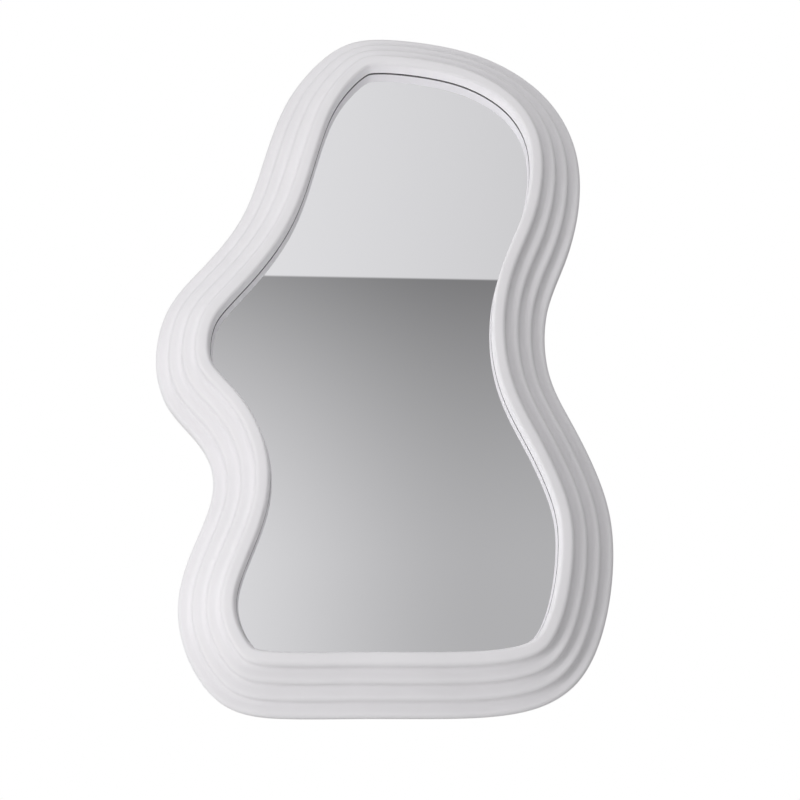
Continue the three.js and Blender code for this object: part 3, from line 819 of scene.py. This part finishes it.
def buildWorld():
    # Reflected brightness from the ray's direction d. Under the line it is
    # (lower - fall * share^power) * (1 + gain * left), where share grows with d.z up to the
    # line and left grows towards -x; over the line it is upper - upperFall * d.x, with d.x held
    # within upperReach, and the slopes hold theirs within slopeReach. The edge
    # itself is the plane d.z + tilt * d.x + rise * d.y = 0. Far to a side it turns into a slope
    # from sideLeft to sideRight. The lamps don't show in the glass, so the light that it passes
    # on to the lip is a slope of its own, from passedLeft to passedRight.
    look = surroundings
    world = bpy.data.worlds.new("studio")
    bpy.context.scene.world = world
    world.use_nodes = True
    tree = world.node_tree
    tree.nodes.clear()
    ray = addNode(tree, "ShaderNodeTexCoord").outputs["Generated"]
    axes = addNode(tree, "ShaderNodeSeparateXYZ", {0: ray})
    x, y, z = axes.outputs
    tilted = calc(tree, "ADD", z, calc(tree, "MULTIPLY", x, look["edgeTilt"]))
    height = calc(tree, "ADD", tilted, calc(tree, "MULTIPLY", y, look["edgeRise"]))
    above = remap(tree, height, -look["edgeSoftness"], look["edgeSoftness"], smooth=True)
    rise = remap(tree, z, look["fallStart"], look["line"])
    fall = calc(tree, "MULTIPLY", calc(tree, "POWER", rise, look["fallPower"]),
                look["lowerFall"])
    left = remap(tree, x, *look["leftRange"], smooth=True)
    gain = calc(tree, "ADD", calc(tree, "MULTIPLY", left, look["leftGain"]), 1.0)
    lower = calc(tree, "MULTIPLY", calc(tree, "SUBTRACT", look["lower"], fall), gain)
    reach = look["upperReach"]
    bent = remap(tree, x, -reach, reach, reach * look["upperFall"], -reach * look["upperFall"])
    upper = calc(tree, "ADD", bent, look["upper"])
    grey = addNode(tree, "ShaderNodeMix", {0: above, 2: lower, 3: upper})
    aside = remap(tree, calc(tree, "ABSOLUTE", x), *look["sideRange"], smooth=True)
    reach = look["slopeReach"]
    slope = remap(tree, x, -reach, reach, look["sideLeft"], look["sideRight"])
    room = addNode(tree, "ShaderNodeMix", {0: aside, 2: grey.outputs[0], 3: slope})
    path = addNode(tree, "ShaderNodeLightPath")
    passed = remap(tree, x, -reach, reach, look["passedLeft"], look["passedRight"])
    mirrored = addNode(tree, "ShaderNodeMix", {
        0: scattered(tree, path), 2: room.outputs[0], 3: passed})
    tinted = addNode(tree, "ShaderNodeVectorMath", {0: mirrored.outputs[0], 1: look["tint"]},
                     operation="MULTIPLY").outputs[0]
    seen = mixColour(tree, path.outputs["Is Glossy Ray"], look["ambient"], tinted)
    clear = calc(tree, "MAXIMUM", path.outputs["Is Camera Ray"],
                 path.outputs["Is Transmission Ray"])
    colour = mixColour(tree, clear, seen, look["background"])
    light = addNode(tree, "ShaderNodeBackground", {"Color": colour, "Strength": 1.0})
    end = addNode(tree, "ShaderNodeOutputWorld")
    tree.links.new(light.outputs[0], end.inputs["Surface"])


lamps = {
    # place, what it is turned to, width, power in watts
    "keyLamp": ((-1.6, -1.6, -1.0), (-0.05, -0.04, -0.25), 1.1, 24.9),
    "frontLamp": ((0.0, -1.8, 1.2), (-0.05, -0.04, -0.25), 1.1, 12.6),
    "backLamp": ((0.3, 2.6, 0.6), (-0.05, 0.0, -0.25), 1.4, 30.0),
}
floor = {
    "level": -2.1, "reach": 9.0, "sides": 96,
    "pale": (0.80, 0.80, 0.80), "shade": (0.78, 0.78, 0.775),
    # how much it is lifted towards the white ground, at these distances, and how much more in
    # the light that the glass passes on
    "liftRange": (0.5, 4.5), "lift": (0.42, 1.0), "passedGain": 2.4,
    "cloudSize": 0.8, "roughness": 0.7,
}


def addLamp(name, place, target, width, power):
    # A round lamp that looks along target - place
    lamp = bpy.data.lights.new(name, "AREA")
    lamp.shape = "DISK"
    lamp.size = width
    lamp.energy = power
    holder = bpy.data.objects.new(name, lamp)
    holder.visible_glossy = False  # the glass shows the room alone
    holder.location = place
    holder.rotation_euler = (Vector(target) - Vector(place)).to_track_quat("-Z", "Y").to_euler()
    bpy.context.scene.collection.objects.link(holder)


def addFloor():
    # A plain floor that shows paler than the lamps light it, more so with its distance from
    # the middle: lift = remap of (x^2 + y^2)^1/2. In the glass it is as the lamps light it, and
    # the light that the glass passes on has the lift again, passedGain times.
    angle = np.linspace(0, 2 * math.pi, floor["sides"], endpoint=False)
    rim = np.stack([floor["reach"] * np.cos(angle), floor["reach"] * np.sin(angle),
                    np.full(floor["sides"], floor["level"])], 1)
    mesh = bpy.data.meshes.new("studio_floor")
    mesh.from_pydata(rim.tolist(), [], [tuple(range(floor["sides"]))])
    material, tree, shader, place = startMaterial("studio_floor")
    cloud = useGroup(tree, "mottle", {"Vector": place, "Size": floor["cloudSize"]})
    tree.links.new(mixColour(tree, cloud, floor["pale"], floor["shade"]),
                   shader.inputs["Base Color"])
    shader.inputs["Roughness"].default_value = floor["roughness"]
    flat = addNode(tree, "ShaderNodeVectorMath", {0: place, 1: (1, 1, 0)}, operation="MULTIPLY")
    away = addNode(tree, "ShaderNodeVectorMath", {0: flat.outputs[0]}, operation="LENGTH")
    lift = remap(tree, away.outputs["Value"], *floor["liftRange"], *floor["lift"], smooth=True)
    path = addNode(tree, "ShaderNodeLightPath")
    passed = calc(tree, "MULTIPLY", path.outputs["Is Glossy Ray"],
                  calc(tree, "MULTIPLY", scattered(tree, path), floor["passedGain"]))
    seen = calc(tree, "MAXIMUM", path.outputs["Is Camera Ray"], passed)
    shader.inputs["Emission Color"].default_value = (*floor["pale"], 1)
    tree.links.new(calc(tree, "MULTIPLY", seen, lift), shader.inputs["Emission Strength"])
    mesh.materials.append(material)
    piece = bpy.data.objects.new("studio_floor", mesh)
    bpy.context.scene.collection.objects.link(piece)


buildWorld()
addFloor()
for lampName, values in lamps.items():
    addLamp(lampName, *values)
print("stage 9: surroundings, floor and lamps")

# ---- camera ----
view = {
    "place": (-0.0673, -1.4255, -0.6989), "tilt": 105.98, "pan": -1.76, "lens": 50.0,
    "sensor": 36.0,
}
camera = bpy.data.cameras.new("camera")
camera.lens = view["lens"]
camera.sensor_width = view["sensor"]
cameraHolder = bpy.data.objects.new("camera", camera)
cameraHolder.location = view["place"]
cameraHolder.rotation_euler = (math.radians(view["tilt"]), 0.0, math.radians(view["pan"]))
bpy.context.scene.collection.objects.link(cameraHolder)
bpy.context.scene.camera = cameraHolder
bpy.context.scene.view_settings.view_transform = "Standard"
print("stage 10: camera")
